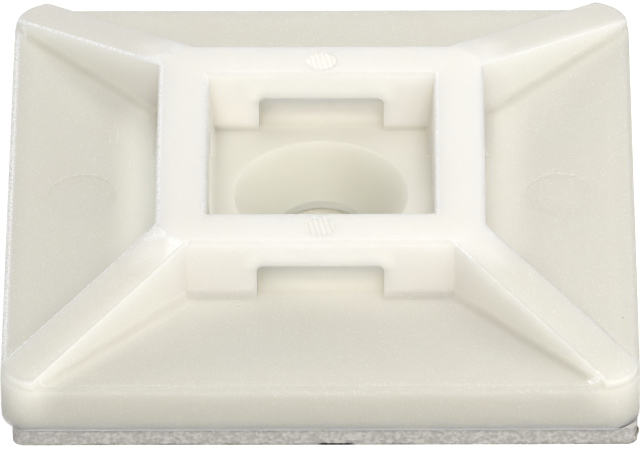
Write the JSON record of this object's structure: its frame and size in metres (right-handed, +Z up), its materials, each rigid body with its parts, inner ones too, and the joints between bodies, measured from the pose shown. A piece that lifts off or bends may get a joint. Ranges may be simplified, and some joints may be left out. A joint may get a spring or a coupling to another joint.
{
  "type": "cable tie mount",
  "caption": "Square self-adhesive cable tie mount: a low nylon pyramid with diagonal ribs, a raised ring slotted on every side, a countersunk screw hole and a foam pad.",
  "frame": {"origin": "middle of the square outline, on the liner's underside, where the part rests", "axes": "+Z up, out of the ring's window; X and Y run along the sides of the base"},
  "size_m": [0.028, 0.028, 0.0061],
  "materials": {
    "natural_nylon": "natural milky nylon, fine spark-eroded grain, polished edges",
    "foam": "pale grey closed-cell foam with open cut cells along its sides",
    "liner_paper": "thin glazed release paper"
  },
  "bodies": {
    "root": {"mount_body": "natural_nylon", "adhesive_pad": "foam", "release_liner": "liner_paper"}
  },
  "joints": []
}
